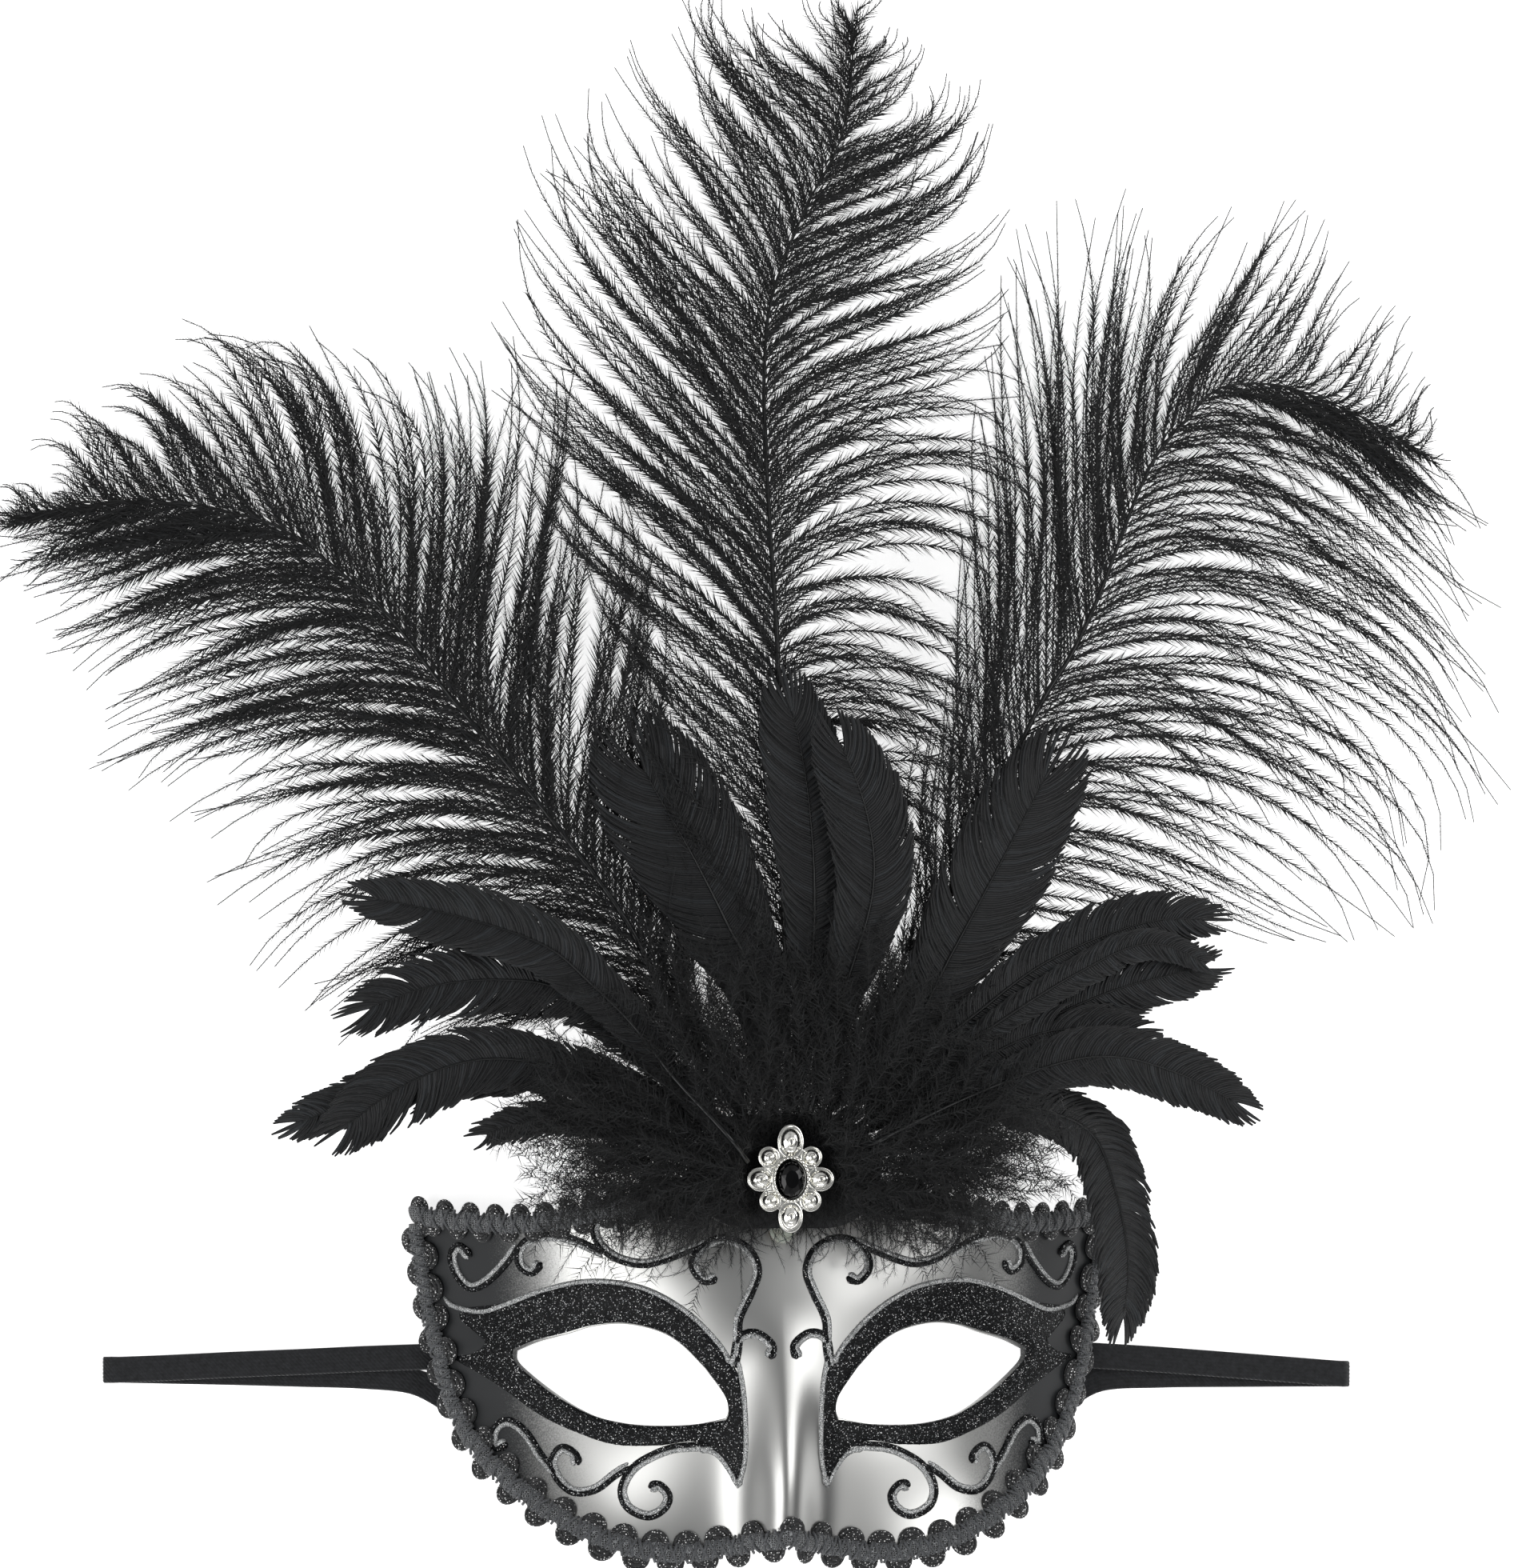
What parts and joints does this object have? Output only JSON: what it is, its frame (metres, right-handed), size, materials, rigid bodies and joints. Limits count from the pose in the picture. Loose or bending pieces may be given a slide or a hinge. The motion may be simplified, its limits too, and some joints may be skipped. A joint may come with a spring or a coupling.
{
  "type": "venetian masquerade mask",
  "caption": "Half mask with painted scrolls, braid edging, a brooch, a spray of ostrich plumes and flat feathers, and an elastic head band.",
  "frame": {"origin": "on the plane of the wearer's face, midway between the eyes", "axes": "+X to the right seen from the front, +Y up the forehead towards the plumes, +Z out of the front; the mask lies on its back on Z = 0"},
  "size_m": [0.3522, 0.3611, 0.0664],
  "materials": {
    "silver_shell": "satin silver lacquer, sprayed black at the temples",
    "black_glitter": "glitter glue, black with silver flakes",
    "gimp_braid": "black gimp with silver lurex",
    "elastic": "flat braided elastic, ribbed lengthwise",
    "felt": "pressed felt",
    "hot_glue": "set hot-melt glue",
    "plated_metal": "bright plated casting",
    "black_stone": "faceted black acrylic",
    "ostrich": "dyed ostrich plume",
    "coque": "dyed flat feather",
    "marabou": "dyed marabou down"
  },
  "bodies": {
    "mask": {"mask_shell": "silver_shell", "glitter_eye_left": "black_glitter", "glitter_eye_right": "black_glitter", "scrolls_brow_left": "black_glitter", "scrolls_brow_right": "black_glitter", "scrolls_cheek_left": "black_glitter", "scrolls_cheek_right": "black_glitter", "braid_top": "gimp_braid", "braid_lower": "gimp_braid", "elastic_band": "elastic", "band_patch_left": "felt", "band_patch_right": "felt", "feather_pad": "felt", "pad_glue": "hot_glue", "brooch_glue": "hot_glue", "brooch_setting": "plated_metal", "brooch_milgrain": "plated_metal", "brooch_stone": "black_stone", "blade_left_1": "coque", "blade_left_2": "coque", "blade_left_3": "coque", "blade_left_4": "coque", "blade_left_5": "coque", "blade_centre_1": "coque", "blade_centre_2": "coque", "blade_centre_3": "coque", "blade_right_1": "coque", "blade_right_2": "coque", "blade_right_3": "coque", "blade_right_4": "coque", "blade_right_5": "coque", "blade_right_6": "coque", "blade_right_7": "coque", "down_left": "marabou", "down_right": "marabou", "down_back": "marabou", "down_front": "marabou"},
    "plume_left": {"plume_left": "ostrich"},
    "plume_centre": {"plume_centre": "ostrich"},
    "plume_right": {"plume_right": "ostrich"}
  },
  "joints": [
    {"name": "plume_left_sway", "type": "hinge", "parent": "mask", "child": "plume_left", "pos_m": [0, 0.048, 0.0504], "axis": [0, 0, 1], "range_deg": [-6, 6], "stiffness_Nm_per_rad": 0.02},
    {"name": "plume_centre_sway", "type": "hinge", "parent": "mask", "child": "plume_centre", "pos_m": [0, 0.048, 0.0526], "axis": [0, 0, 1], "range_deg": [-6, 6], "stiffness_Nm_per_rad": 0.02},
    {"name": "plume_right_sway", "type": "hinge", "parent": "mask", "child": "plume_right", "pos_m": [0, 0.048, 0.0515], "axis": [0, 0, 1], "range_deg": [-6, 6], "stiffness_Nm_per_rad": 0.02}
  ]
}
